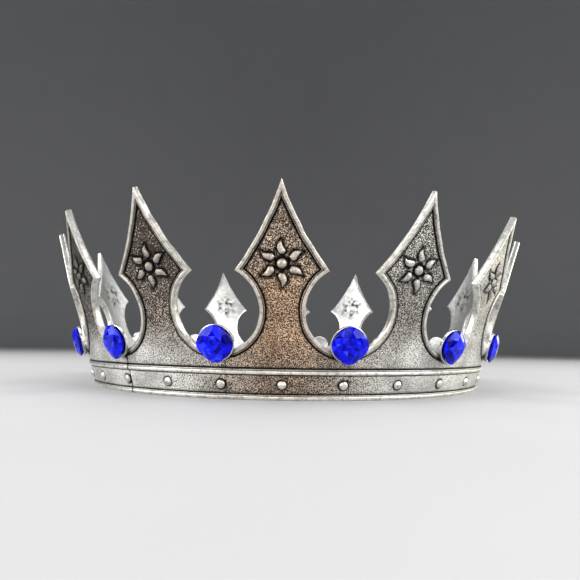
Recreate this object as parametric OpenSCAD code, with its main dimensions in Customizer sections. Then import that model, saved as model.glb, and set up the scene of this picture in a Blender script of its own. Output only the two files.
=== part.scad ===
// A tall crown: cast spire panels lapped end to end into an outward-leaning ring.
// Every joint between two panels is closed by a domed rivet in the band and, above
// it, by the post of a round cup that holds a faceted stone.
// +Z is up, the foot of the ring lies on Z = 0 and the ring's axis is the Z axis.
// Panel 01 faces -Y, and the numbers run towards +X.

/* [Ring] */
// Number of spire panels around the ring
panel_count = 14; // [13:1:16]
// Outer radius of the plain band surface at the foot
foot_r = 90.7; // [86:0.1:96]
// Outward lean of the ring from the vertical, in degrees
lean = 16.5; // [14:0.5:19]
// Wall thickness of a panel's plain surface
wall = 2.2; // [1.8:0.1:3]
// Height of raised edges over the plain surface
relief = 0.6; // [0.4:0.1:0.9]
// Height of the thin ridge that runs beside every raised edge
low_relief = 0.35; // [0.2:0.05:0.35]

/* [Band] */
// Height of the lip around the foot, with its thin ridge
lip_h = 1.9; // [1.7:0.1:2.4]
// Height of the lip alone
lip_main_h = 1.4; // [1:0.1:1.5]
// Height of the row of studs above the foot
stud_z = 5.1; // [4.6:0.1:5.6]
// Diameter of the sphere that a stud's dome is cut from
stud_d = 3.2; // [2.4:0.1:3.6]
// Height of the middle of the double bead above the foot
bead_z = 9.5; // [9:0.1:10]
// Height of the double bead from its lower to its upper edge
bead_h = 1.9; // [1.8:0.1:2.2]
// Height of its broad lower half
bead_main_h = 1.3; // [1:0.1:1.4]

/* [Spire] */
// Height of a spire's tip above the foot
tip_z = 69.3; // [62:0.1:78]
// Height of the two shoulder points above the foot
shoulder_z = 41.7; // [40.5:0.1:42.5]
// Distance from a spire's centre line to its shoulder point
shoulder_w = 15.2; // [14.4:0.1:15.8]
// How far the middle of a spire's long edge bows inwards
edge_bow = 1.3; // [0.8:0.1:2]
// Width of the rim around the spires and the arches, with its thin ridge
rim_w = 1.9; // [1.7:0.1:2.4]
// Width of the rim alone
rim_main_w = 1.4; // [1:0.1:1.5]

/* [Arch] */
// Radius of the round opening between two spires
arch_r = 14.8; // [14.2:0.1:15.2]
// Height of the middle of that opening above the foot
arch_z = 29.8; // [29:0.1:30.6]

/* [Flower] */
// Height of the flower's middle above the foot
flower_z = 44; // [43:0.1:46]
// Number of petals
petal_count = 6; // [5:1:8]
// Distance from the flower's middle to a petal's point
petal_reach = 7.5; // [6.5:0.1:8]
// Radius of a petal's round inner end
petal_r = 1.25; // [0.9:0.05:1.4]
// Radius of the dome in the middle
flower_dome_r = 1.7; // [1.4:0.1:2]

/* [Stone] */
// Width of a stone across its flat sides
stone_w = 11.4; // [10.8:0.1:11.6]
// Height of a stone's middle above the foot
stone_z = 19.2; // [18.6:0.1:19.6]
// Diameter of a stone's cup
cup_d = 12.6; // [12.4:0.1:13.4]
// Depth of a stone's cup, outside
cup_h = 1.3; // [1:0.1:2]

/* [Joint] */
// Length of the half-lap between two panels
lap = 4.2; // [3.8:0.1:5]
// Diameter of the rivet and post shanks
shank_d = 1.6; // [1.4:0.1:1.8]

/* [Hidden] */
$fn = 96;
fit_gap = 0.03;        // gap left between pieces that are assembled
over = 3;              // how far cutting shapes run past what they cut
step = 360 / panel_count;
half_step = step / 2;
lap_angle = (lap / 2) / foot_r * 180 / PI;

tip_v = tip_z / cos(lean);
shoulder_v = shoulder_z / cos(lean);
arch_v = arch_z / cos(lean);
bead_lo = bead_z - bead_h / 2;
bead_hi = bead_z + bead_h / 2;
bead_split = bead_lo + bead_main_h;
chamfer = 0.35;
cone_top = tip_z + 4;

// The spire's long edge: from the tip to the shoulder, and the circle that bows it
edge_len = norm([shoulder_w, tip_v - shoulder_v]);
tip_half = atan(shoulder_w / (tip_v - shoulder_v));
edge_run = 5;          // how far the edge's line goes on past the shoulder, into the arch
edge_end = edge_len + edge_run;
bow_r = edge_len * edge_len / (8 * edge_bow) + edge_bow / 2;
bow_out = bow_r - edge_bow;
bow_x = shoulder_w / 2 + bow_out * cos(tip_half);
bow_v = (tip_v + shoulder_v) / 2 + bow_out * sin(tip_half);

stone_v = stone_z / cos(lean);
cup_r = cup_d / 2;
cup_back = relief + fit_gap;
cup_wall = 0.5;
cup_floor = 0.5;
post_drop = 5.05;      // from the cup's middle down to its post
post_head_r = 1.25;
post_head_h = 0.5;
petal_len = 3.4;       // from the middle of a petal's round end to its point
petal_sink = 0.3;      // how deep a petal's axis lies under the surface
petal_taper = 0.94;    // width of the taper at the round end's middle, as a share of it
dome_sink = 0.5;       // how deep the middle of a dome's sphere lies under the surface
panel_reach = 40;      // half the width that a panel's outline is drawn to

girdle_w = cup_back + cup_h + 0.9;
girdle_h = 0.35;
crown_h = 1.5;
table_share = 0.56;
culet_share = 0.78;

function two_digits(i) = str(i < 10 ? "0" : "", i);

// Radius of the leaning surface at height z, moved outwards along its normal
function face_r(z, out) = foot_r + z * tan(lean) + out / cos(lean);

// A point of the ring's section
function at(z, out) = [face_r(z, out), z];

// The radius of a square stone with round corners, at angle a
function cushion_r(a, w) = w / 2 / pow(pow(abs(cos(a)), 2.9) + pow(abs(sin(a)), 2.9), 1 / 2.9);

// Puts things on the leaning surface: X runs to the right, Y up the slope and Z outwards
module on_face(angle, v) {
    rotate([0, 0, angle]) translate([0, -foot_r, 0]) rotate([90 + lean, 0, 0])
        translate([0, v, 0]) children();
}

// The ring's full section: lip, band, double bead and the wall above, at rim height
module ring_section() {
    polygon([
        at(0, -wall),
        at(0, relief - chamfer),
        at(chamfer, relief),
        at(lip_main_h - chamfer, relief),
        at(lip_main_h, low_relief / 2),
        at(lip_main_h + low_relief / 2, low_relief),
        at(lip_h, 0),
        at(bead_lo, 0),
        at(bead_lo + chamfer, relief),
        at(bead_split - chamfer, relief),
        at(bead_split, low_relief / 2),
        at(bead_split + chamfer, relief),
        at(cone_top, relief),
        at(cone_top, -wall)
    ]);
}

// What is cut away over the plain field, above the bead
module field_section() {
    polygon([
        at(bead_hi, 0),
        at(bead_hi - chamfer, relief),
        at(bead_hi - chamfer, relief + over),
        at(cone_top + over, relief + over),
        at(cone_top + over, 0)
    ]);
}

// What is cut away over the thin ridge beside the rim, from the double bead's groove up
module ridge_section() {
    polygon([
        at(bead_split, low_relief),
        at(bead_split, relief + over),
        at(cone_top + over, relief + over),
        at(cone_top + over, low_relief)
    ]);
}

// Half of the wall's section, used to cut the laps
module half_wall_section(inner, outer) {
    polygon([
        at(-over, inner),
        at(-over, outer),
        at(cone_top + over, outer),
        at(cone_top + over, inner)
    ]);
}

// A ring sector from angle a to angle b, measured from the panel's centre line
module sector(a, b) {
    rotate([0, 0, a - 90]) rotate_extrude(angle = b - a) children();
}

// The spire's flat outline, set in from its edges
module spire_outline(inset) {
    side = [edge_end * sin(tip_half) - inset * cos(tip_half),
            tip_v - edge_end * cos(tip_half) - inset * sin(tip_half)];
    difference() {
        polygon([
            [-panel_reach, -over],
            [panel_reach, -over],
            [panel_reach, arch_v],
            side,
            [0, tip_v - inset / sin(tip_half)],
            [-side[0], side[1]],
            [-panel_reach, arch_v]
        ]);
        for (s = [-1, 1]) translate([s * bow_x, bow_v]) circle(bow_r + inset, $fn = 200);
    }
}

// The outline through the whole wall, with both arches taken out of it
module spire_block(inset) {
    difference() {
        on_face(0, 0) translate([0, 0, -15]) linear_extrude(30) spire_outline(inset);
        for (s = [-1, 1]) on_face(s * half_step, arch_v)
            translate([0, 0, -20]) cylinder(h = 40, r = arch_r + inset);
    }
}

// One petal, a drop with its point outwards, lying on the surface
module petal() {
    body_at = petal_reach - petal_len;
    translate([0, 0, -petal_sink]) rotate([-90, 0, 0]) rotate_extrude() {
        intersection() {
            translate([0, body_at]) circle(petal_r);
            translate([0, body_at - petal_r]) square([petal_r, 2 * petal_r]);
        }
        polygon([[0, body_at], [petal_taper * petal_r, body_at], [0, petal_reach]]);
    }
}

module flower() {
    dome(flower_dome_r, -wall / 2);
    for (i = [0:petal_count - 1]) rotate([0, 0, i * 360 / petal_count]) petal();
}

// The cap of a sphere that lies a little under the surface, down to the height given
module dome(r, foot) {
    rotate_extrude() intersection() {
        translate([0, -dome_sink]) circle(r);
        translate([0, foot]) square([r, r - foot]);
    }
}

// The two holes of the joint at the given angle
module joint_holes(angle) {
    on_face(angle, stud_z / cos(lean)) translate([0, 0, -over - wall])
        cylinder(h = 2 * over + wall, d = shank_d, $fn = 32);
    on_face(angle, stone_v - post_drop) translate([0, 0, -over - wall])
        cylinder(h = 2 * over + wall, d = shank_d, $fn = 32);
}

// A cast panel: a piece of the band with one spire, lapped half and half at both ends
module panel_casting() {
    mid_wall = -wall / 2;
    difference() {
        intersection() {
            sector(-half_step - lap_angle, half_step + lap_angle) ring_section();
            spire_block(0);
        }
        intersection() {
            sector(-half_step - over, half_step + over) field_section();
            spire_block(rim_w);
        }
        intersection() {
            sector(-half_step - over, half_step + over) ridge_section();
            spire_block(rim_main_w);
        }
        sector(half_step - lap_angle, half_step + over)
            half_wall_section(-wall - over, mid_wall);
        sector(-half_step - over, -half_step + lap_angle)
            half_wall_section(mid_wall - fit_gap, relief + over);
        joint_holes(-half_step);
        joint_holes(half_step);
    }
    on_face(0, stud_z / cos(lean)) dome(stud_d / 2, -wall / 2);
    on_face(0, flower_z / cos(lean)) flower();
}

module spire_panel(i) {
    color("gray") rotate([0, 0, (i - 1) * step]) panel_casting();
}

// A round cup with a low wall, and the post that closes the joint behind it
module stone_cup(i) {
    color("silver") on_face((i - 0.5) * step, stone_v) {
        difference() {
            translate([0, 0, cup_back]) cylinder(h = cup_h, r = cup_r);
            translate([0, 0, cup_back + cup_floor]) cylinder(h = cup_h, r = cup_r - cup_wall);
        }
        translate([0, -post_drop, -wall - fit_gap - post_head_h]) {
            cylinder(h = post_head_h, r = post_head_r, $fn = 32);
            cylinder(h = post_head_h + wall + 2 * fit_gap + relief, d = shank_d - 2 * fit_gap,
                     $fn = 32);
        }
    }
}

// A slice of the stone: its cushion outline at one height, turned corner up
module stone_slice(share, w, h) {
    translate([0, 0, w]) linear_extrude(h) rotate([0, 0, 45]) polygon([
        for (a = [0:15:345]) share * cushion_r(a, stone_w) * [cos(a), sin(a)]
    ]);
}

// A faceted stone: pavilion in the cup, girdle above its wall, flat table on top
module stone(i) {
    skin = 0.02;
    color("blue") on_face((i - 0.5) * step, stone_v) hull() {
        stone_slice(culet_share, cup_back + cup_floor + fit_gap, skin);
        stone_slice(0.985, girdle_w, skin);
        stone_slice(1, girdle_w + girdle_h / 2, skin);
        stone_slice(0.985, girdle_w + girdle_h, skin);
        stone_slice(table_share, girdle_w + girdle_h + crown_h, skin);
    }
}

// A rivet with a domed head outside and a flat head inside the ring
module joint_rivet() {
    dome(stud_d / 2, fit_gap);
    translate([0, 0, -wall - fit_gap])
        cylinder(h = wall + 3 * fit_gap, d = shank_d - 2 * fit_gap, $fn = 32);
    translate([0, 0, -wall - fit_gap - post_head_h])
        cylinder(h = post_head_h, r = post_head_r, $fn = 32);
}

module joint_rivets() {
    color("darkgray") for (i = [1:panel_count])
        on_face((i - 0.5) * step, stud_z / cos(lean)) joint_rivet();
}

for (i = [1:panel_count]) {
    spire_panel(i);
    stone_cup(i);
    stone(i);
}
joint_rivets();
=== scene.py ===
# The crown's looks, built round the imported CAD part: cast panels with rims, beads and
# flowers, cups, faceted stones and rivets, on a pale floor in soft studio light.
import math

import bpy
import numpy as np
from mathutils import Matrix, Vector, noise
from mathutils.geometry import delaunay_2d_cdt


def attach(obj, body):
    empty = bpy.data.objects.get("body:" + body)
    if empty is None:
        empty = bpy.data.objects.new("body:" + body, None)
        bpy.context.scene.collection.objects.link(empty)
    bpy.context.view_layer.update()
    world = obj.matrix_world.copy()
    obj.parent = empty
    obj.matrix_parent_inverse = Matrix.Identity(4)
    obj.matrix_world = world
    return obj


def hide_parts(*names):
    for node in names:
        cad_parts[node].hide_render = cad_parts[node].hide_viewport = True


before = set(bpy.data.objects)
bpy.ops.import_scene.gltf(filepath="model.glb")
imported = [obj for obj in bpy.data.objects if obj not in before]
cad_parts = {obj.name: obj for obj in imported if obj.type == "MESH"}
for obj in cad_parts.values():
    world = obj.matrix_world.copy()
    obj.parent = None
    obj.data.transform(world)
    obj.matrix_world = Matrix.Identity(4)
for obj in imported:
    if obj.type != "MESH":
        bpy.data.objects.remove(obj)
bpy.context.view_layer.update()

# ---------------------------------------------------------------- dimensions, in mm
MM = 0.001
PANELS = sum(name.startswith("spire_panel_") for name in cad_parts)
STEP = 2 * math.pi / PANELS
HALF = STEP / 2

FOOT_R = 90.7          # outer radius of the plain surface at the foot
MEAN_R = 100.0         # radius halfway up, to turn a sideways shift into an angle
LEAN = math.radians(16.5)
WALL = 2.2
RELIEF = 0.6           # height of rims, bead and lip over the plain surface
SIN, COS, TAN = math.sin(LEAN), math.cos(LEAN), math.tan(LEAN)

# Lengths up the slope, measured from the foot, are v; a height over the table is v * COS
LIP_TOP = 1.9 / COS
BEAD = (8.55 / COS, 10.45 / COS)
STUD_V = 5.1 / COS
STUD_R = 1.6
DOME_SINK = 0.5        # how deep the centre of a stud's or flower's dome lies

TIP_V = 69.3 / COS
SHOULDER = (15.2, 41.7 / COS)
EDGE_BOW = 1.3
RIM_W = 1.9
ARCH_R = 14.8
ARCH_V = 29.8 / COS
ARCH_LOW = ARCH_V - ARCH_R

FLOWER_V = 44.0 / COS
STONE_V = 19.2 / COS
CUP_R = 6.3
CUP_BACK = 0.63
CUP_H = 1.3
GIRDLE = 2.83          # height of a stone's widest part over the surface
CUSHION_HALF = 5.72    # from a stone's middle to a flat side of its outline
CUSHION_POWER = 2.9    # 2 would make the outline a circle, and a high power a square
POST_DROP = 5.05
SHANK_R = 0.77         # of a rivet and of a cup's post
HEAD_R = 1.25          # of their flat heads on the inside
HEAD_H = 0.5
LAP = 2.1 / FOOT_R     # half the length of the half-lap, as an angle
LAP_GAP = 0.03

# The circle that bows a spire's long edge inwards
EDGE_LEN = math.hypot(SHOULDER[0], TIP_V - SHOULDER[1])
TIP_HALF = math.atan2(SHOULDER[0], TIP_V - SHOULDER[1])
BOW_R = EDGE_LEN ** 2 / (8 * EDGE_BOW) + EDGE_BOW / 2
BOW_X = SHOULDER[0] / 2 + (BOW_R - EDGE_BOW) * math.cos(TIP_HALF)
BOW_V = (TIP_V + SHOULDER[1]) / 2 + (BOW_R - EDGE_BOW) * math.sin(TIP_HALF)

FLAT = 96.0            # mm per radian in the flat drawing that panels are meshed in


# ---------------------------------------------------------------- the leaning surface
def cone_point(theta, v, w):
    """Row-frame point, in mm, at angle theta, v up the slope and w out of the surface."""
    rho = FOOT_R + v * SIN + w * COS
    return np.stack([rho * np.sin(theta), -rho * np.cos(theta), v * COS - w * SIN], -1)


def onto_cone(at, x, v):
    """Angle and slope height of the flat point (x, v) of the tangent plane at angle `at`."""
    x, v = np.asarray(x, float), np.asarray(v, float)
    t = np.zeros_like(x)
    for _ in range(6):
        py, pz = -FOOT_R - v * SIN - t * COS, v * COS - t * SIN
        r = np.hypot(x, py)
        t = t - (r - FOOT_R - pz * TAN) / (COS * -py / r + SIN * TAN)
    py, pz = -FOOT_R - v * SIN - t * COS, v * COS - t * SIN
    return at + np.arctan2(x, -py), pz / COS


def tangent_xy(at, theta, v):
    """The reverse: flat coordinates in the tangent plane at angle `at`."""
    rho = FOOT_R + v * SIN
    turn = theta - at
    return rho * np.sin(turn), (rho * np.cos(turn) - FOOT_R) * SIN + v * COS * COS


def flat_point(at, x, v, w):
    """Row-frame point, in mm, of the tangent plane at angle `at`, w out of it."""
    px, py, pz = x, -FOOT_R - v * SIN - w * COS, v * COS - w * SIN
    return (px * math.cos(at) - py * math.sin(at), px * math.sin(at) + py * math.cos(at), pz)


def rim_distance(theta, v):
    """How far a surface point lies inside the panel's spire and arch edges."""
    out = np.full(np.shape(theta), 1e3)
    for s in (-1, 1):
        x, y = tangent_xy(0, theta, v)
        out = np.minimum(out, np.hypot(x - s * BOW_X, y - BOW_V) - BOW_R)
        x, y = tangent_xy(s * HALF, theta, v)
        out = np.minimum(out, np.hypot(x, y - ARCH_V) - ARCH_R)
    return out


def bisect(f, a, b):
    """The place between a and b where f changes sign."""
    fa = f(a)
    for _ in range(60):
        m = (a + b) / 2
        fm = f(m)
        if (fm > 0) == (fa > 0):
            a, fa = m, fm
        else:
            b = m
    return (a + b) / 2


def arch_at(phi, d):
    """Point of the right-hand arch circle, grown by d, at angle phi."""
    r = ARCH_R + d
    return onto_cone(HALF, r * math.cos(phi), ARCH_V + r * math.sin(phi))


def arch_meets(theta, d, low=-110):
    """Angle on the grown arch circle, from -60 degrees down to `low`, that lies at theta."""
    return bisect(lambda phi: arch_at(phi, d)[0] - theta, math.radians(-60), math.radians(low))


def right_path(d, stops=()):
    """The right half of the outline set in by d: from the lap's end to the tip."""
    def edge_gap(phi):
        x, y = tangent_xy(0, *arch_at(phi, d))
        return math.hypot(x - BOW_X, y - BOW_V) - BOW_R - d

    corner = bisect(edge_gap, math.radians(-190), math.radians(-265))
    phis = list(np.linspace(arch_meets(HALF + LAP, d), corner, 56))
    phis += [arch_meets(stop, d, -135) for stop in stops]
    phis = np.array(sorted(phis, reverse=True))
    r = ARCH_R + d
    t1, v1 = onto_cone(HALF, r * np.cos(phis), ARCH_V + r * np.sin(phis))
    cx, cy = tangent_xy(0, t1[-1], v1[-1])
    start = math.atan2(cy - BOW_V, cx - BOW_X) % (2 * math.pi)
    end = 2 * math.pi - math.acos(-BOW_X / (BOW_R + d))
    psi = np.linspace(start, end, 60)[1:]
    t2, v2 = onto_cone(0, BOW_X + (BOW_R + d) * np.cos(psi), BOW_V + (BOW_R + d) * np.sin(psi))
    t2[-1] = 0.0
    return np.concatenate([t1, t2]), np.concatenate([v1, v2])


def outline(d, stops=()):
    """The whole path, set in by d, from the right lap over the tip to the left lap."""
    t, v = right_path(d, stops)
    return np.concatenate([t, -t[-2::-1]]), np.concatenate([v, v[-2::-1]])


# ---------------------------------------------------------------- relief of a panel's outer face
# Ridges as (from, to), in mm from the edge of the rim or up the slope
RIM_MAIN, RIM_THIN = (0.0, 1.36), (1.4, 1.86)
LIP_MAIN, LIP_THIN = (0.0, 1.45), (1.5, 1.95)
BEAD_MAIN, BEAD_THIN = (BEAD[0], BEAD[0] + 1.36), (BEAD[0] + 1.42, BEAD[1])
THIN_RISE = 0.36
# Dark lines beside the ridges and in the groove between a main and a thin one,
# as (place, strength, width)
RIM_SOOT = ((RIM_W + 0.16, 1.5, 0.3), (1.385, 0.8, 0.09))
BAND_SOOT = ((LIP_THIN[1] + 0.16, 1.3, 0.26), (BEAD[0] - 0.16, 1.3, 0.26),
             (BEAD[1] + 0.18, 1.5, 0.3), (1.475, 0.8, 0.08), (BEAD_MAIN[1] + 0.03, 0.8, 0.08))
SOOT_SINK, HALO_SINK, SEAM_SINK = 0.14, 0.12, 0.06
EDGE_WORN = 0.9        # how bright the outer edges are rubbed
FLOWER_WORN = 0.62     # how bright the flowers are, where a rim is 1

PETALS = 6
PETAL_TURNS = [math.pi / 2 + k * 2 * math.pi / PETALS for k in range(PETALS)]
PETAL_OUT, PETAL_MID, PETAL_R = 7.7, 4.25, 1.28
PETAL_RISE, PETAL_CURL = 1.0, 0.5
DOME_R = 1.7


def half_round(u, power=2.2):
    return np.clip(1 - np.abs(u) ** power, 0, 1) ** (1 / power)


def ridge(x, low, high, height):
    """A rounded ridge over low..high."""
    return height * half_round((x - low) / (high - low) * 2 - 1)


def bell(x, width):
    return np.exp(-(x / width) ** 2)


def beyond(x, reach, width):
    """1 up to reach, then fading out over about width."""
    return bell(np.clip(x - reach, 0, None), width)


def dark_lines(x, lines):
    """How dark the given lines make the points at x, at most 1."""
    return np.minimum(sum(strength * bell(x - place, width) for place, strength, width in lines), 1)


def petal_width(a):
    """Half the width of a petal at a mm from the flower's middle, and the share of its tail."""
    t = np.clip((a - PETAL_MID) / (PETAL_OUT - PETAL_MID), 0, 1)
    back = np.sqrt(np.clip(PETAL_R ** 2 - (a - PETAL_MID) ** 2, 0, None))
    return np.where(a < PETAL_MID, back, PETAL_R * (1 - t ** 1.8) ** 1.25), t


def petal_curl(t):
    """How far the middle line of a petal swings to its left."""
    return PETAL_CURL * np.sin(math.pi * t)


def flower_relief(theta, v):
    """Height of the flower and how near a point is to it, from 0 to 1."""
    x, y = tangent_xy(0, theta, v)
    y = y - FLOWER_V
    r = np.hypot(x, y)
    dome = np.sqrt(np.clip(DOME_R ** 2 - r ** 2, 0, None)) - DOME_SINK
    rise = np.clip(dome, 0, None)
    near = beyond(r, 1.9, 0.9)
    for phi in PETAL_TURNS:
        a = x * math.cos(phi) + y * math.sin(phi)
        b = -x * math.sin(phi) + y * math.cos(phi)
        half, t = petal_width(a)
        off = np.abs(b - petal_curl(t))
        u = off / np.maximum(half, 1e-6)
        inside = (a > PETAL_MID - PETAL_R) & (a < PETAL_OUT) & (u < 1)
        crest = PETAL_RISE * (half / PETAL_R) ** 0.7 * np.sqrt(np.clip(1 - u ** 2, 0, 1))
        rise = np.maximum(rise, np.where(inside, crest, 0))
        ends = np.maximum(np.maximum(PETAL_MID - PETAL_R - a, a - PETAL_OUT), 0)
        gap = np.hypot(ends, np.clip(off - half, 0, None))
        near = np.maximum(near, beyond(gap, 0.2, 0.7))
    return rise, np.clip(1.5 * near, 0, 1)


def stud_relief(theta, v):
    """Height of the panel's own stud and how near a point is to it."""
    x, y = tangent_xy(0, theta, v)
    r = np.hypot(x, y - STUD_V)
    rise = np.clip(np.sqrt(np.clip(STUD_R ** 2 - r ** 2, 0, None)) - DOME_SINK, 0, None)
    return rise, beyond(r, 1.5, 0.5)


def cup_shadow(theta, v):
    """Painted shadow round the cups, and dark rings round the rivets, at both ends of the panel."""
    out = np.zeros(np.shape(theta))
    for s in (-1, 1):
        x, y = tangent_xy(s * HALF, theta, v)
        # painted shadow round the cup
        out = out + 0.75 * beyond(np.hypot(x, y - STONE_V), CUP_R, 0.6)
        out = out + 1.2 * beyond(np.hypot(x, y - STUD_V), STUD_R, 0.5)
    return out


def outer_face(theta, v):
    """Height over the plain surface, wear, and soot with painted shadow round the cups, at points
    of the outer face.
    """
    d = rim_distance(theta, v)
    above = v > BEAD[1] + 0.4
    rim = np.where(above, ridge(d, *RIM_MAIN, RELIEF) + ridge(d, *RIM_THIN, THIN_RISE), 0)
    band = (ridge(v, *LIP_MAIN, RELIEF) + ridge(v, *LIP_THIN, THIN_RISE)
            + ridge(v, *BEAD_MAIN, RELIEF) + ridge(v, *BEAD_THIN, THIN_RISE))
    lines = np.where(above, dark_lines(d, RIM_SOOT), 0) + dark_lines(v, BAND_SOOT)
    flower, by_flower = flower_relief(theta, v)
    stud, by_stud = stud_relief(theta, v)
    rise = rim + band + flower + stud
    plain = rise < 0.02
    rho = FOOT_R + v * SIN
    seam = bell((theta + HALF - LAP) * rho, 0.14) + bell((HALF + LAP - theta) * rho, 0.14)

    groove = SOOT_SINK * lines + np.where(plain, by_flower + by_stud, 0) * HALO_SINK
    w = rise - groove - SEAM_SINK * seam
    w = np.where(theta < -HALF + LAP, -WALL / 2 - LAP_GAP, w)
    worn = np.clip((rise - 0.15 * rim) / RELIEF, 0, 1) * np.where(flower > 0.02, FLOWER_WORN, 1)
    worn = np.maximum(worn, EDGE_WORN * np.where(above, bell(d, 0.35), bell(v, 0.35)))
    # cup_shadow adds a painted shadow round the cups to the soot
    soot_and_shadow = np.clip(lines + np.where(plain, by_flower + 1.2 * by_stud, 0)
                   + 0.05 * seam + cup_shadow(theta, v), 0, 1)
    return w, worn, soot_and_shadow


def lumps(points, size, seed):
    """Smooth noise from -1 to 1 at points in mm, with lumps of about that size."""
    shift = Vector((seed * 7.13, seed * 3.71, seed * 5.37))
    return np.array([noise.noise(Vector(p) / size + shift) for p in points])


def inner_face(theta, v):
    """Height, wear and soot of the back, with its sunk, sooty marks behind the flower."""
    d = rim_distance(theta, v)
    x, y = tangent_xy(0, theta, v)
    rise, near = flower_relief(theta, v)
    blot = lumps(np.stack([x, y, 0 * x], -1), 2.1, 77)
    marks = 0.16 * np.clip(rise, 0, 1) + 0.22 * near * (np.hypot(x, y - FLOWER_V) < 8)
    marks = marks * np.clip(0.7 + 1.3 * blot, 0.1, 1.4)
    smudge = bell(np.hypot(x, 0.8 * (y - FLOWER_V)), 4.8) * np.clip(0.55 + 1.6 * blot, 0, 1)
    w = -WALL + 0.25 * bell(d, 0.12) + 0.3 * marks
    w = np.where(theta > HALF - LAP, -WALL / 2, w)
    return w, 0.25 * bell(d, 0.5), np.clip(0.8 * marks + smudge, 0, 1)


# ---------------------------------------------------------------- a panel's mesh, drawn flat
class Drawing:
    """Points and constrained edges of a flat drawing, triangulated in one go."""

    def __init__(self, border):
        self.points = [tuple(p) for p in border]
        self.border = len(border)
        self.edges = []

    def path(self, xs, ys, closed=False):
        start = len(self.points)
        self.points += list(zip(xs, ys))
        n = len(xs)
        self.edges += [(start + i, start + i + 1) for i in range(n - 1)]
        if closed:
            self.edges.append((start + n - 1, start))

    def scatter(self, xs, ys):
        self.points += list(zip(xs, ys))

    def mesh(self):
        """Vertices, triangles and the border's vertex numbers."""
        loop = list(range(self.border))
        out = delaunay_2d_cdt([Vector(p) for p in self.points], self.edges, [loop], 1, 1e-5)
        where = {}
        for new, olds in enumerate(out[3]):
            for old in olds:
                where[old] = new
        used = sorted({i for f in out[2] for i in f})
        number = {old: new for new, old in enumerate(used)}
        verts = np.array([tuple(out[0][i]) for i in used])
        faces = [tuple(number[i] for i in f) for f in out[2]]
        return verts, faces, [number[where[i]] for i in loop]


def inside_border(xs, ys, hull):
    """Even-odd test of many points against a closed polygon."""
    inside = np.zeros(len(xs), bool)
    a, b = hull, np.roll(hull, -1, 0)
    for (x0, y0), (x1, y1) in zip(a, b):
        if y0 == y1:
            continue
        hit = ((y0 > ys) != (y1 > ys)) & (xs < (x1 - x0) * (ys - y0) / (y1 - y0) + x0)
        inside ^= hit
    return inside


def hex_grid(size, low, high):
    """Points of a grid of equal triangles with sides of about `size`, over a box."""
    row = size * 0.866
    rows = int((high[1] - low[1]) / row) + 1
    cols = int((high[0] - low[0]) / size) + 1
    j, i = np.meshgrid(np.arange(rows), np.arange(cols), indexing="ij")
    x = low[0] + size * (i + 0.5 * (j % 2))
    y = low[1] + row * j
    return x.ravel(), y.ravel()


PANEL_END = HALF + LAP
LAP_STEP = HALF - LAP                     # where the other panel's lap ends and the step is
STEP_EDGE = 0.02 / FOOT_R                 # half the width of the slope drawn for the lap's step
SEAM_LINES = (0.12 / FOOT_R, 0.3 / FOOT_R)  # how far from a seam lines are drawn for its dirt
END_GAP = 1e-4                            # keeps lines off the border's own points
RIM_LOOPS = [0.06, 0.2, 0.42, 0.68, 0.94, 1.16, 1.3, 1.38, 1.48, 1.63, 1.78, 1.87, 2.02, 2.25]
LIP_LINES = [0.06, 0.22, 0.45, 0.72, 1.0, 1.23, 1.4, 1.475, 1.56, 1.72, 1.87, 1.97, 2.12, 2.35]
BEAD_LINES = [BEAD[0] + b for b in (-0.38, -0.16, 0.0, 0.07, 0.22, 0.44, 0.68, 0.92, 1.14, 1.3,
                                    1.39, 1.49, 1.7, 1.9, 1.98, 2.16, 2.42)]
STUD_RINGS = (0.45, 0.85, 1.15, 1.37, 1.5, 1.54, 1.75, 2.1)
FLOWER_RINGS = (0.45, 0.85, 1.2, 1.45, 1.58, 1.64, 1.85, 2.15)
RING_CLEAR = 2.3                          # the field's grid stays this far from their middles
FACE_GRID, BACK_GRID, FLOWER_GRID = 0.46, 1.5, 0.55


def border_points():
    """The panel's outline, counter-clockwise, in the flat drawing."""
    steps = (LAP_STEP - STEP_EDGE, LAP_STEP + STEP_EDGE)
    t, v = outline(0.0, steps)
    levels = [0.0] + LIP_LINES + BEAD_LINES + list(np.arange(2.8, BEAD[0] - 0.5, 0.6))
    levels += [float(arch_at(arch_meets(PANEL_END, d), d)[1]) for d in RIM_LOOPS]
    side = np.array(sorted(levels)[1:])
    foot = np.concatenate([np.linspace(-PANEL_END, PANEL_END, 90), steps, [-s for s in steps]])
    xs = np.concatenate([np.sort(foot), np.full(len(side), PANEL_END), t,
                         np.full(len(side), -PANEL_END)])
    ys = np.concatenate([np.zeros(len(foot)), side, v, side[::-1]])
    return np.stack([xs * FLAT, ys], 1)


def draw_upright(draw, theta, spacing):
    """A line up the band at angle theta, in steps of `spacing`."""
    ys = np.arange(0.02, ARCH_LOW - 0.1, spacing)
    draw.path(np.full(len(ys), theta * FLAT), ys)


def draw_rings(draw, middle, radii):
    """Circles round the point `middle` up the slope, for a dome and the dirt round it."""
    a = np.linspace(0, 2 * math.pi, 32, endpoint=False)
    for r in radii:
        t, v = onto_cone(0, r * np.cos(a), middle + r * np.sin(a))
        draw.path(t * FLAT, v, closed=True)


def draw_petals(draw):
    """Nested outlines of every petal, from its edge to its crest."""
    u = np.linspace(0, 1, 26)
    along = PETAL_MID - PETAL_R + (PETAL_OUT - PETAL_MID + PETAL_R) * (1 - np.cos(u * math.pi)) / 2
    for phi in PETAL_TURNS:
        for share in (1.0, 0.88, 0.62, 0.3):
            shorter = 0.4 + 0.6 * share if share < 1 else 1
            a = PETAL_MID + (along - PETAL_MID) * shorter
            half, t = petal_width(a)
            there_and_back = np.concatenate([a, a[-2:0:-1]])
            b = np.concatenate([share * half, -share * half[-2:0:-1]])
            b = b + petal_curl(np.concatenate([t, t[-2:0:-1]]))
            x = there_and_back * math.cos(phi) - b * math.sin(phi)
            y = there_and_back * math.sin(phi) + b * math.cos(phi)
            theta, v = onto_cone(0, x, FLOWER_V + y)
            draw.path(theta * FLAT, v, closed=True)


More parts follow.
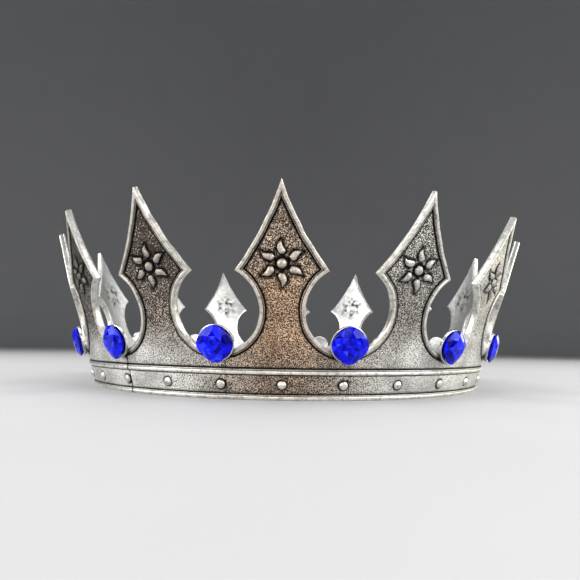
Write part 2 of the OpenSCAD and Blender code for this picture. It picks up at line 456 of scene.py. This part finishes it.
def draw_face(border):
    """The outer face's drawing: close lines along every ridge, petals, and a fine grid."""
    draw = Drawing(border)
    end = PANEL_END - END_GAP
    for d in RIM_LOOPS:
        t, v = outline(d)
        draw.path(np.clip(t, -end, end) * FLAT, v)
    for level in LIP_LINES + BEAD_LINES:
        xs = np.linspace(-end, end, 86)
        draw.path(xs * FLAT, np.full(len(xs), level))
    uprights = [-LAP_STEP - STEP_EDGE, -LAP_STEP + STEP_EDGE]
    uprights += [-LAP_STEP + s for s in SEAM_LINES] + [PANEL_END - s for s in SEAM_LINES]
    for theta in uprights:
        draw_upright(draw, theta, 0.5)
    draw_rings(draw, STUD_V, STUD_RINGS)
    draw_rings(draw, FLOWER_V, FLOWER_RINGS)
    draw_petals(draw)
    # the open field, clear of everything drawn above
    x, y = hex_grid(FACE_GRID, border.min(0), border.max(0))
    theta = x / FLAT
    tx, ty = tangent_xy(0, theta, y)
    rise, near = flower_relief(theta, y)
    ok = inside_border(x, y, border) & (rim_distance(theta, y) > RIM_LOOPS[-1] + 0.2)
    ok &= (y > LIP_LINES[-1] + 0.2) & ((y < BEAD[0] - 0.55) | (y > BEAD[1] + 0.6))
    ok &= (np.abs(theta) < end - 0.5 / FOOT_R) & (np.abs(theta + LAP_STEP) > 0.5 / FOOT_R)
    ok &= (rise <= 0) & (near < 1)
    for middle in (STUD_V, FLOWER_V):
        ok &= np.hypot(tx, ty - middle) > RING_CLEAR
    draw.scatter(x[ok], y[ok])
    return draw.mesh()


def draw_back(border):
    """The inner face's drawing: plain, with a finer grid behind the flower."""
    draw = Drawing(border)
    end = PANEL_END - END_GAP
    for d in (0.13, 0.4):
        t, v = outline(d)
        draw.path(np.clip(t, -end, end) * FLAT, v)
    for theta in (LAP_STEP - STEP_EDGE, LAP_STEP + STEP_EDGE):
        draw_upright(draw, theta, 0.8)
    for grid, behind in ((BACK_GRID, False), (FLOWER_GRID, True)):
        x, y = hex_grid(grid, border.min(0), border.max(0))
        theta = x / FLAT
        tx, ty = tangent_xy(0, theta, y)
        near = np.hypot(tx, ty - FLOWER_V) < 8.6
        ok = inside_border(x, y, border) & (rim_distance(theta, y) > 0.7) & (y > 0.5)
        ok &= (near == behind) & (np.abs(theta) < PANEL_END - 0.6 / FOOT_R)
        ok &= np.abs(theta - LAP_STEP) > 0.6 / FOOT_R
        draw.scatter(x[ok], y[ok])
    return draw.mesh()


BORDER = border_points()
FACE = draw_face(BORDER)
BACK = draw_back(BORDER)


# ---------------------------------------------------------------- meshes in the row frame
def add_piece(name, verts, faces, material, attributes=(), smooth_angle=0):
    """A mesh object in metres from points in mm, riding on the root body."""
    mesh = bpy.data.meshes.new(name)
    mesh.from_pydata([tuple(p) for p in np.asarray(verts) * MM], [], faces)
    for key, domain, values in attributes:
        layer = mesh.attributes.new(key, "FLOAT", domain)
        layer.data.foreach_set("value", np.asarray(values, np.float32))
    mesh.update()
    if smooth_angle:
        mesh.polygons.foreach_set("use_smooth", [True] * len(mesh.polygons))
        mesh.set_sharp_from_angle(angle=math.radians(smooth_angle))
    mesh.materials.append(material)
    obj = bpy.data.objects.new(name, mesh)
    bpy.context.scene.collection.objects.link(obj)
    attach(obj, "root")
    return obj


WALL_ROWS = 3
WALL_WORN, WALL_INSIDE = 0.95, 0.25
WORN_LEAST = 0.05      # less wear than this is the plain field
# Lists with a value for each panel, from the front one round to the right
# How far the tip of the spire has been bent outwards, in mm
BENDS = (0.1, 2.2, 2.2, 1.8, 0.2, -0.3, -0.5, 0.3, 0.5, 0.0, 1.8, 0.7, -0.8, 2.3)
FRONT_SWAY = -0.8      # how far the front spire's tip leans to the right, in mm
BEND_FROM, BEND_OVER = 22, 50             # where the bend starts, and the height it builds up over
WAVE_FROM, WAVE_OVER = 17, 6              # the same for the waver of the edges
# How much brighter or darker than usual the field of the spire's upper part is painted: painted
# light and shade of each spire, partly tarnish
SPIRE_LIGHT_AND_TARNISH = (-0.8, -0.6, 0.5, 0.2, -0.2, 0.3, 0.0, -0.4, 0.2, 0.0, -0.3, -0.2, -2.2, -1.75)
# How much of the copper shows on the spire's upper part
COPPER = (0.0, 0.0, 0.1, 0.0, 0.2, 0.0, 0.1, 0.3, 0.0, 0.1, 0.0, 0.1, 0.1, 0.35)
# How much of its shine the flower has kept
FLOWER_SHINE = (1.0, 0.95, 0.45, 0.7, 0.8, 0.9, 0.7, 0.9, 0.8, 0.6, 0.9, 0.8, 0.5, 0.85)
# How dirty and open the seam at the panel's right end is
SEAMS = (0.15, 0.2, 0.5, 0.3, 0.2, 0.6, 0.3, 0.2, 0.4, 0.2, 0.3, 0.5, 1.0, 0.2)
WARM_SPREAD = 0.24     # angle over which the front spire's warm tint fades out: a painted warm reflection, partly copper
BAND_PAINTED_LIGHT = 1.6      # how much more the band's field is brightened than the field above the bead: painted light from the sides
# Each kind of unevenness takes its noise from its own run of seeds
SANDY, BROAD, HAMMERED, BACK_DENTS, WAVER = 0, 40, 80, 120, 160


def outer_side(number, turn):
    """The outer face of one casting: angles, slope heights, relief, wear, and soot with painted
    shadow round the cups.
    """
    theta, v = FACE[0][:, 0] / FLAT, FACE[0][:, 1]
    w, worn, soot_and_shadow = outer_face(theta, v)
    x, y = tangent_xy(0, theta, v)
    on_flower = (np.hypot(x, y - FLOWER_V) < PETAL_OUT + 0.3) & (worn > WORN_LEAST)
    shine = FLOWER_SHINE[number]
    worn = np.where(on_flower, worn * shine, worn)
    soot_and_shadow = np.where(on_flower, soot_and_shadow + 0.5 * (1 - shine), soot_and_shadow)

    here = cone_point(theta + turn, v, 0 * v)
    sandy = lumps(here, 1.1, number + SANDY) * 0.028 + lumps(here, 4.5, number + BROAD) * 0.05
    hammered = lumps(here, 2.2, number + HAMMERED) * 0.03 * np.clip(worn, 0, 1)
    on_lap = theta < -LAP_STEP
    plain = (worn < 0.02) & ~on_lap
    w = w + np.where(plain, sandy, np.where(on_lap, 0, hammered))

    ragged = 0.25 * lumps(np.stack([v, v, v], -1), 1.3, number)
    to_seam = (PANEL_END - theta) * FOOT_R + ragged
    dirty = SEAMS[number]
    crack = dirty * bell(to_seam - 0.1, 0.2 + 0.25 * dirty)
    return theta, v, w - 0.22 * crack, worn, np.clip(soot_and_shadow + 1.3 * crack, 0, 1)


def inner_side(number, turn):
    """The same for the casting's inner face."""
    theta, v = BACK[0][:, 0] / FLAT, BACK[0][:, 1]
    w, worn, soot_and_shadow = inner_face(theta, v)
    there = cone_point(theta + turn, v, 0 * v)
    dents = lumps(there, 6.0, number + BACK_DENTS) * 0.06
    return theta, v, w + np.where(theta > LAP_STEP, 0, dents), worn, soot_and_shadow


def settler(number, turn):
    """The function that puts one casting's points in their place in the row frame."""
    rng = np.random.default_rng(100 + number)
    bend, lift = BENDS[number], rng.uniform(-0.03, 0.03)
    sway = FRONT_SWAY if number == 0 else rng.uniform(-0.25, 0.25)

    def settle(theta, v, w):
        """A flat foot, a spire bent out and aside, and edges that waver a little."""
        foot = np.clip(1 - v / LIP_TOP, 0, 1)
        v_cut = v + w * TAN * foot
        high = np.clip((v - BEND_FROM) / BEND_OVER, 0, 1)
        w_bent = w + bend * high ** 2 + lift
        place = cone_point(theta + turn, v_cut, w_bent)
        wave = lumps(place, 5.0, number + WAVER) * np.clip((v - WAVE_FROM) / WAVE_OVER, 0, 1)
        aside = sway * high + 0.22 * wave
        return cone_point(theta + turn + aside / MEAN_R, v_cut + 0.1 * wave, w_bent)

    return settle


def field_looks(number, verts, v, worn):
    """How bright each point of one casting is painted, and how warm. The brightness is partly
    painted light and shade, with the band lit from the sides and each spire lit or shaded on its
    own, and partly wear and tarnish; the warmth is partly a painted warm reflection on the front
    spire and partly copper.

    The first of the points are the outer face's, with slope heights v and wear worn."""
    around, height = np.arctan2(verts[:, 0], -verts[:, 1]), verts[:, 2]
    low = np.clip((27 - height) / 11, 0, 1)
    # painted light and shade of each spire's upper part, partly tarnish
    upper = SPIRE_LIGHT_AND_TARNISH[number] * (0.7 + 0.5 * np.clip((height - 25) / 25, 0, 1))
    # painted light on the band: brighter at the sides, darker at the front
    tone = low * (1 - 1.4 * bell(around, 1.5 * WARM_SPREAD)) + (1 - low) * upper
    face = tone[:len(v)]
    face[v < BEAD[0]] *= BAND_PAINTED_LIGHT
    on_band = (v < BEAD[1] + 0.1) & (worn > WORN_LEAST)
    face[on_band] = np.maximum(face, worn)[on_band]
    # a painted warm reflection on the front spire, partly copper; higher up, COPPER adds copper
    # showing through
    warm_reflection_and_copper = bell(around, WARM_SPREAD) * (0.6 + 0.6 * bell(height - 27, 15))
    return tone, np.maximum(warm_reflection_and_copper, (1 - low) * COPPER[number])


def panel_mesh(number, turn):
    """One casting: its outer face, its inner face and the walls between their borders."""
    t1, v1, w1, worn1, outer_soot_and_shadow = outer_side(number, turn)
    t2, v2, w2, worn2, soot2 = inner_side(number, turn)
    settle = settler(number, turn)
    verts = [settle(t1, v1, w1), settle(t2, v2, w2)]
    a, b = np.array(FACE[2]), np.array(BACK[2])
    rows = [a]
    for k in range(1, WALL_ROWS + 1):
        share = k / (WALL_ROWS + 1)
        verts.append(settle(t1[a], v1[a], w1[a] * (1 - share) + w2[b] * share))
        start = len(t1) + len(t2) + (k - 1) * len(a)
        rows.append(np.arange(start, start + len(a)))
    rows.append(b + len(t1))
    faces = list(FACE[1]) + [tuple(i + len(t1) for i in reversed(f)) for f in BACK[1]]
    around = np.arange(len(a))
    for upper, lower in zip(rows, rows[1:]):
        faces += [(int(upper[i]), int(lower[i]), int(lower[j]), int(upper[j]))
                  for i, j in zip(around, np.roll(around, -1))]
    verts = np.concatenate(verts)
    walls = np.ones(len(a) * WALL_ROWS)
    inside = np.concatenate([np.zeros(len(t1)), np.ones(len(t2)), WALL_INSIDE * walls])
    tone, warm_reflection_and_copper = field_looks(number, verts, v1, worn1)
    looks = (("worn", np.concatenate([worn1, worn2, WALL_WORN * walls])),
             ("soot_and_shadow", np.concatenate([outer_soot_and_shadow, soot2, 0 * walls])),
             ("inside", inside), ("warm", warm_reflection_and_copper * (inside < 0.5)), ("painted_light_and_rub", tone))
    return verts, faces, [(key, "POINT", values) for key, values in looks]


def lathe(profile, at, v, segments, drop=0.0):
    """A turned solid on the leaning surface; profile is (radius, height) from the axis."""
    verts, faces, rings = [], [], []
    angles = np.linspace(0, 2 * math.pi, segments, endpoint=False)
    for r, w in profile:
        if r < 1e-6:
            rings.append([len(verts)])
            verts.append(flat_point(at, 0, v - drop, w))
        else:
            rings.append(list(range(len(verts), len(verts) + segments)))
            verts += [flat_point(at, r * math.cos(a), v - drop + r * math.sin(a), w)
                      for a in angles]
    for lower, upper in zip(rings, rings[1:]):
        for i in range(segments):
            j = (i + 1) % segments
            if len(lower) == 1:
                faces.append((lower[0], upper[i], upper[j]))
            elif len(upper) == 1:
                faces.append((upper[0], lower[j], lower[i]))
            else:
                faces.append((lower[i], upper[i], upper[j], lower[j]))
    return verts, faces


def joined(parts):
    """Several lists of points and faces as one."""
    verts, faces = [], []
    for v, f in parts:
        base = len(verts)
        verts += v
        faces += [tuple(i + base for i in face) for face in f]
    return verts, faces


# ---------------------------------------------------------------- materials
class Nodes:
    """A new material's node tree, with short ways to add and join its nodes."""

    def __init__(self, name):
        self.material = bpy.data.materials.new(name)
        self.material.use_nodes = True
        self.tree = self.material.node_tree
        self.shader = self.tree.nodes["Principled BSDF"].inputs
        self.where = self.tree.nodes.new("ShaderNodeTexCoord").outputs["Object"]

    def add(self, kind, **inputs):
        node = self.tree.nodes.new(kind)
        for key, value in inputs.items():
            node.inputs[key.replace("_", " ")].default_value = value
        return node

    def join(self, value, socket):
        """Give a socket a number or colour, or another node's output."""
        if isinstance(value, (int, float, tuple)):
            socket.default_value = value
        else:
            self.tree.links.new(value, socket)

    def set(self, **inputs):
        """Join values to the shader's own sockets, with _ for a space in their names."""
        for key, value in inputs.items():
            self.join(value, self.shader[key.replace("_", " ")])

    def texture(self, kind, **inputs):
        """A procedural texture in the object's own coordinates, which are the row frame's."""
        node = self.add(kind, **inputs)
        self.join(self.where, node.inputs["Vector"])
        return node.outputs

    def noise(self, **inputs):
        return self.texture("ShaderNodeTexNoise", **inputs)["Fac"]

    def attribute(self, name):
        node = self.add("ShaderNodeAttribute")
        node.attribute_name = name
        return node.outputs["Fac"]

    def maths(self, operation, a, b, clamp=False):
        node = self.add("ShaderNodeMath")
        node.operation, node.use_clamp = operation, clamp
        self.join(a, node.inputs[0])
        self.join(b, node.inputs[1])
        return node.outputs[0]

    def plus(self, a, b):
        return self.maths("ADD", a, b)

    def minus(self, a, b):
        return self.maths("SUBTRACT", a, b)

    def times(self, a, b, clamp=False):
        return self.maths("MULTIPLY", a, b, clamp)

    def most(self, a, b):
        return self.maths("MAXIMUM", a, b)

    def mix(self, share, a, b):
        """Colour a, turning into colour b as the share goes from 0 to 1."""
        node = self.add("ShaderNodeMix")
        node.data_type = "RGBA"
        self.join(share, node.inputs[0])
        self.join(a, node.inputs[6])
        self.join(b, node.inputs[7])
        return node.outputs[2]

    def colours(self, value, stops):
        """A colour for each value, between stops of (value, (red, green, blue))."""
        node = self.add("ShaderNodeValToRGB")
        points = node.color_ramp.elements
        points[0].position, points[1].position = stops[0][0], stops[-1][0]
        for position, _ in stops[1:-1]:
            points.new(position)
        for point, (_, colour) in zip(points, stops):
            point.color = (*colour, 1)
        self.join(value, node.inputs[0])
        return node.outputs[0]

    def ramp(self, value, *stops):
        """A level for each value, between stops of (value, level)."""
        return self.colours(value, [(position, (level,) * 3) for position, level in stops])

    def bump(self, height, strength, distance):
        node = self.add("ShaderNodeBump", Strength=strength, Distance=distance)
        self.join(height, node.inputs["Height"])
        self.set(Normal=node.outputs["Normal"])


PATINA, PATINA_WARM = (0.045, 0.043, 0.040, 1), (0.075, 0.050, 0.036, 1)
# Black for soot and for the painted shadow round the cups
SOOT_AND_SHADOW_BLACK = (0.008, 0.008, 0.009, 1)
SILVER_OLD, SILVER_WARM = (0.76, 0.74, 0.67, 1), (0.78, 0.55, 0.37, 1)
# The whitest silver, for worn metal and for painted light
SILVER_LIT_AND_WORN, SILVER_INSIDE = (0.95, 0.94, 0.88, 1), (0.50, 0.50, 0.485, 1)
# Painted facet light: blues from a facet painted dark, as if it looked into the dark, to one
# painted as a flash
PAINTED_FACET_BLUES = ((0.0, (0.0, 0.0, 0.03)), (0.3, (0.001, 0.0, 0.17)), (0.55, (0.002, 0.002, 0.62)),
               (0.8, (0.006, 0.012, 0.95)), (1.0, (0.06, 0.11, 1.0)))


def antique_silver(name):
    """Cast silver plate: sandy field with patina between the grains, bright where it is worn and
    where light is painted, black in soot and painted shadow.
    """
    look = Nodes(name)
    plus, minus, times, most = look.plus, look.minus, look.times, look.most
    grain = look.noise(Scale=3000.0, Detail=2.0, Roughness=0.6)
    pits = look.texture("ShaderNodeTexVoronoi", Scale=2100.0, Randomness=1.0)["Distance"]
    cloud = look.noise(Scale=95.0, Detail=3.0, Roughness=0.55)
    scratch = look.noise(Scale=520.0, Detail=5.0, Roughness=0.7)
    worn, soot_and_shadow, inside = (look.attribute(key) for key in ("worn", "soot_and_shadow", "inside"))
    warm, painted_light_and_rub = look.attribute("warm"), look.attribute("painted_light_and_rub")

    # the field: bright grains in dark patina, and more of them where it is rubbed and where light
    # is painted
    sand = plus(times(grain, 0.8), times(pits, 0.25))
    shown = plus(sand, times(painted_light_and_rub, 0.06))
    grains = look.ramp(shown, (0.462, 0.0), (0.505, 0.25), (0.548, 1.0))
    tarnish = look.ramp(cloud, (0.38, 0.0), (0.62, 1.0))
    field = times(grains, plus(0.6, times(tarnish, 0.4)))

    # smooth metal, on worn ridges and on the inside
    wear = look.ramp(worn, (0.1, 0.0), (0.95, 1.0))
    smooth = most(wear, look.ramp(inside, (0.3, 0.0), (0.8, 1.0)))
    polished = look.ramp(scratch, (0.34, 0.4), (0.54, 1.0))
    polished = most(polished, times(inside, 0.8))

    # from 0 in soot, painted shadow and patina to 1 on bright metal
    dirt_and_shadow = times(soot_and_shadow, plus(0.8, times(scratch, 0.5)), clamp=True)
    level = plus(times(smooth, polished), times(minus(1.0, smooth), field))
    level = times(level, minus(1.0, dirt_and_shadow), clamp=True)

    # a painted warm reflection on the front spire, partly copper showing through
    warm_reflection_and_copper = times(warm, minus(1.0, times(smooth, 0.85)))
    dark = look.mix(dirt_and_shadow, look.mix(warm_reflection_and_copper, PATINA, PATINA_WARM), SOOT_AND_SHADOW_BLACK)
    # whiter silver where it is worn and where light is painted
    lit_and_worn = most(painted_light_and_rub, times(wear, 0.3))
    bright = look.mix(lit_and_worn, look.mix(warm_reflection_and_copper, SILVER_OLD, SILVER_WARM), SILVER_LIT_AND_WORN)
    bright = look.mix(inside, bright, SILVER_INSIDE)
    look.set(Base_Color=look.mix(level, dark, bright), Metallic=1.0,
             Roughness=minus(0.66, times(level, 0.38)))
    look.bump(plus(times(sand, minus(1.0, smooth)), times(scratch, times(smooth, 0.16))),
              1.0, 0.00045)
    return look.material


def plain_silver(name, bright, scale, rough):
    """Cup and rivet silver: smooth plate with fine scratches and a little tarnish."""
    look = Nodes(name)
    fine = look.noise(Scale=scale, Detail=4.0, Roughness=0.65)
    broad = look.noise(Scale=scale / 6, Detail=2.0, Roughness=0.5)
    level = look.times(look.ramp(fine, (0.28, 0.45), (0.52, 1.0)),
                       look.ramp(broad, (0.3, 0.7), (0.6, 1.0)))
    dark = tuple(0.12 * c for c in bright[:3]) + (1,)
    look.set(Base_Color=look.mix(level, dark, bright), Metallic=1.0,
             Roughness=look.minus(rough + 0.2, look.times(level, 0.2)))
    look.bump(fine, 0.5, 0.00006)
    return look.material


def blue_glass(name):
    """Foiled royal blue glass: each facet is painted its own blue, from a painted shade to a
    painted flash, under a hard gloss.
    """
    look = Nodes(name)
    cells = look.texture("ShaderNodeTexVoronoi", Scale=430.0, Randomness=1.0)["Color"]
    split = look.add("ShaderNodeSeparateColor")
    look.join(cells, split.inputs[0])
    level = look.plus(look.times(look.attribute("tone"), 0.72),
                      look.times(split.outputs[0], 0.25))
    look.set(Base_Color=look.colours(level, PAINTED_FACET_BLUES), Roughness=0.06, IOR=1.5,
             Specular_IOR_Level=0.35, Specular_Tint=(0.30, 0.36, 1.0, 1))
    look.bump(look.noise(Scale=160.0, Detail=1.0), 0.15, 0.00003)
    return look.material


def floor_paint(name):
    """Pale, dull and very slightly cloudy."""
    look = Nodes(name)
    cloud = look.noise(Scale=9.0, Detail=4.0)
    look.set(Base_Color=look.mix(cloud, (0.49, 0.49, 0.50, 1), (0.53, 0.53, 0.53, 1)),
             Roughness=0.7)
    return look.material


SILVER = antique_silver("antique_silver_cast")
CUP_SILVER = plain_silver("cup_silver_plate", (0.78, 0.77, 0.74, 1), 900.0, 0.24)
RIVET_SILVER = plain_silver("rivet_silver_worn", (0.94, 0.92, 0.87, 1), 1500.0, 0.30)
GLASS = blue_glass("blue_glass_foiled")


# ---------------------------------------------------------------- the crown's pieces
def two_digits(i):
    return f"{i + 1:02d}"


def build_panels():
    for i in range(PANELS):
        verts, faces, looks = panel_mesh(i, i * STEP)
        piece = add_piece("casting_" + two_digits(i), verts, faces, SILVER, looks, 50)
        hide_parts("spire_panel_" + two_digits(i))


def cup_profile():
    """The bowl with its rolled edge, from the middle of its floor down and round to the back."""
    top = CUP_BACK + CUP_H
    return [(0, CUP_BACK + 0.5), (CUP_R - 0.7, CUP_BACK + 0.5), (CUP_R - 0.5, CUP_BACK + 0.7),
            (CUP_R - 0.5, top - 0.4), (CUP_R - 0.45, top - 0.1), (CUP_R - 0.3, top + 0.02),
            (CUP_R - 0.1, top), (CUP_R, top - 0.1), (CUP_R, top - 0.35),
            (CUP_R - 0.05, top - 0.5), (CUP_R - 0.05, CUP_BACK + 0.6),
            (CUP_R - 0.1, CUP_BACK + 0.3), (CUP_R - 0.35, CUP_BACK + 0.06),
            (CUP_R - 0.9, CUP_BACK), (0, CUP_BACK)]


def post_profile():
    """The cup's post, which goes through the lap and ends in a rounded head inside."""
    inner = -WALL - LAP_GAP
    return [(0, CUP_BACK + 0.1), (SHANK_R, CUP_BACK + 0.1), (SHANK_R, inner), (HEAD_R, inner),
            (HEAD_R - 0.05, inner - 0.15), (0.95, inner - 0.36), (0.5, inner - 0.48),
            (0, inner - HEAD_H)]


def build_cups():
    for i in range(PANELS):
        at = (i + 0.5) * STEP
        verts, faces = joined([lathe(cup_profile(), at, STONE_V, 64),
                               lathe(post_profile(), at, STONE_V, 28, POST_DROP)])
        piece = add_piece("cup_" + two_digits(i), verts, faces, CUP_SILVER, smooth_angle=40)
        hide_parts("stone_cup_" + two_digits(i))


def cushion_r(a):
    """Radius of the cushion outline at angle a from the middle of a flat side."""
    squareness = abs(math.cos(a)) ** CUSHION_POWER + abs(math.sin(a)) ** CUSHION_POWER
    return CUSHION_HALF / squareness ** (1 / CUSHION_POWER)


def stone_mesh(at, seed):
    """A cushion-cut stone, corner up: table, stars, kites, girdle facets and pavilion."""
    edge = GIRDLE + 0.35                      # the girdle's upper side, where the crown starts
    crown = 1.5
    table_w = edge + crown
    # how far out each ring of corners is, as a share of the outline's radius
    star_r, table_r, middle_r, foot_r = 0.3, 0.54, 0.76, 0.78

    def vert(a, share, w):
        r = share * cushion_r(a + math.pi / 4)
        return flat_point(at, r * math.cos(a), STONE_V + r * math.sin(a), w)

    eighth, n = math.pi / 4, 32
    table = [vert((i + 0.5) * eighth, table_r, table_w) for i in range(8)]
    middle = [vert(i * eighth, middle_r, edge + crown * 0.58) for i in range(8)]
    upper = [vert(j * eighth / 4, 1.0, edge) for j in range(n)]
    lower = [vert(j * eighth / 4, 1.0, GIRDLE) for j in range(n)]
    foot = [vert((i + 0.5) * eighth, foot_r, CUP_BACK + 0.53) for i in range(8)]
    star = [vert(i * eighth, star_r, table_w) for i in range(8)]
    verts = table + middle + upper + lower + foot + star + [vert(0, 0.0, table_w)]
    mid, up, low, back = 8, 16, 16 + n, 16 + 2 * n
    inner, heart = back + 8, back + 16
    faces = []
    for i in range(8):
        before, after = (i - 1) % 8, (i + 1) % 8
        at_low = [low + (4 * i + k) % n for k in range(5)]
        faces.append((heart, inner + i, inner + after))
        faces.append((inner + i, before, i))
        faces.append((inner + i, i, inner + after))
        faces.append((before, mid + i, i))
        faces.append((mid + i, up + 4 * i + 2, mid + after, i))
        faces.append((mid + i, up + (4 * i - 2) % n, up + (4 * i - 1) % n, up + 4 * i))
        faces.append((mid + i, up + 4 * i, up + 4 * i + 1, up + 4 * i + 2))
        faces.append((back + i, at_low[2], at_low[1], at_low[0]))
        faces.append((back + i, at_low[4], at_low[3], at_low[2]))
        faces.append((back + before, back + i, at_low[0]))
    # painted facet light: each facet gets a random painted brightness
    tones = np.random.default_rng(500 + seed).uniform(0.15, 1.0, len(faces))
    for k in range(n):
        faces.append((up + k, low + k, low + (k + 1) % n, up + (k + 1) % n))
    faces.append(tuple(back + i for i in reversed(range(8))))
    # the girdle and the back get a painted shade
    return verts, faces, np.concatenate([tones, np.full(n + 1, 0.15)])


def build_stones():
    for i in range(PANELS):
        verts, faces, tones = stone_mesh((i + 0.5) * STEP, i)
        piece = add_piece("gem_" + two_digits(i), verts, faces, GLASS, [("tone", "FACE", tones)])
        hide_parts("stone_" + two_digits(i))


def rivet_profile():
    """A slightly flattened dome outside, the shank, and a flat head inside."""
    edge = math.sqrt(STUD_R ** 2 - DOME_SINK ** 2)
    height = (STUD_R - DOME_SINK) * 0.9
    dome = [(edge * math.sin(k * math.pi / 16), height * math.cos(k * math.pi / 16) ** 0.7)
            for k in range(8)]
    inner = -WALL - LAP_GAP
    return dome + [(edge, LAP_GAP), (SHANK_R, LAP_GAP), (SHANK_R, inner), (HEAD_R - 0.03, inner),
                   (HEAD_R, inner - 0.15), (1.0, inner - 0.38), (0.5, inner - HEAD_H),
                   (0, inner - HEAD_H)]


def build_rivets():
    parts = [lathe(rivet_profile(), (i + 0.5) * STEP, STUD_V, 28) for i in range(PANELS)]
    verts, faces = joined(parts)
    piece = add_piece("rivets", verts, faces, RIVET_SILVER, smooth_angle=40)
    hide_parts("joint_rivets")


build_panels()
build_cups()
build_stones()
build_rivets()


# ---------------------------------------------------------------- floor, light and camera, in m
def build_floor():
    """A round floor that curves up into a low wall, the same from every side."""
    flat, bend, wall, steps, around = 1.7, 0.7, 2.8, 16, 96
    line = [(flat * k / 4, 0.0) for k in range(1, 5)]
    line += [(flat + bend * math.sin(k / steps * math.pi / 2),
              bend - bend * math.cos(k / steps * math.pi / 2)) for k in range(1, steps + 1)]
    line += [(flat + bend, wall)]
    circle = [2 * math.pi * k / around for k in range(around)]
    verts = [(0, 0, 0)]
    for r, z in line:
        verts += [(r * math.cos(a), r * math.sin(a), z) for a in circle]
    faces = [(0, 1 + k, 1 + (k + 1) % around) for k in range(around)]
    for ring in range(len(line) - 1):
        low, high = 1 + ring * around, 1 + (ring + 1) * around
        faces += [(low + k, high + k, high + (k + 1) % around, low + (k + 1) % around)
                  for k in range(around)]
    mesh = bpy.data.meshes.new("floor")
    mesh.from_pydata(verts, [], faces)
    mesh.polygons.foreach_set("use_smooth", [True] * len(faces))
    mesh.materials.append(floor_paint("pale_floor"))
    floor = bpy.data.objects.new("floor", mesh)
    bpy.context.scene.collection.objects.link(floor)


MIDDLE = (0, 0, 0.035)
LAMP_SPREAD = math.radians(120)
WHITE, YELLOWISH, WARM = (1, 1, 1), (1.0, 0.95, 0.72), (1.0, 0.84, 0.70)
# Soft boxes as (name, place, (width, height), watts, colour)
LAMPS = (
    ("left_box", (-0.76, -0.38, 0.37), (0.6, 0.58), 3.3, WHITE),
    ("right_box", (0.76, -0.38, 0.37), (0.6, 0.58), 3.5, WHITE),
    ("left_back", (-0.6, 0.5, 0.62), (0.5, 0.5), 0.77, WHITE),
    ("right_back", (0.68, 0.5, 0.56), (0.5, 0.5), 1.0, WHITE),
    ("right_low", (0.95, 0.5, 0.15), (0.4, 0.2), 0.58, YELLOWISH),
    ("top_box", (0, 0.05, 0.95), (0.9, 0.9), 2.9, WHITE),
    ("front_box", (0, -1.0, 0.5), (1.0, 0.5), 1.3, WHITE),
    ("warm_front", (0, -0.75, 0.15), (0.25, 0.2), 0.23, WARM),
)


def build_lamps():
    """Soft boxes round the crown, all aimed at its middle, in a dim room."""
    for name, place, size, watts, colour in LAMPS:
        data = bpy.data.lights.new(name, "AREA")
        data.shape, data.size, data.size_y = "RECTANGLE", size[0], size[1]
        data.energy, data.color, data.spread = watts, colour, LAMP_SPREAD
        lamp = bpy.data.objects.new(name, data)
        lamp.location = place
        lamp.visible_camera = False
        lamp.rotation_euler = (Vector(MIDDLE) - Vector(place)).to_track_quat("-Z", "Y").to_euler()
        bpy.context.scene.collection.objects.link(lamp)
    world = bpy.data.worlds.new("studio")
    world.use_nodes = True
    world.node_tree.nodes["Background"].inputs["Color"].default_value = (0.52, 0.54, 0.57, 1)
    world.node_tree.nodes["Background"].inputs["Strength"].default_value = 0.35
    bpy.context.scene.world = world


def build_camera():
    """A close view from just above the table, tilted up a little, as the photo was taken."""
    distance, height = 260.3 * MM, 18.3 * MM
    turn, pan, pitch, roll = 0.0135, -0.0055, 0.1097, 0.0167     # in radians
    data = bpy.data.cameras.new("camera")
    data.lens, data.sensor_width = 31.13, 36
    data.clip_start = 0.005
    cam = bpy.data.objects.new("camera", data)
    place = Vector((distance * math.sin(turn), -distance * math.cos(turn), height))
    cam.matrix_world = (Matrix.Translation(place) @ Matrix.Rotation(turn + pan, 4, "Z")
                        @ Matrix.Rotation(math.pi / 2 + pitch, 4, "X")
                        @ Matrix.Rotation(roll, 4, "Z"))
    bpy.context.scene.collection.objects.link(cam)
    bpy.context.scene.camera = cam


build_floor()
build_lamps()
build_camera()
bpy.context.scene.view_settings.view_transform = "Standard"

bpy.context.view_layer.update()
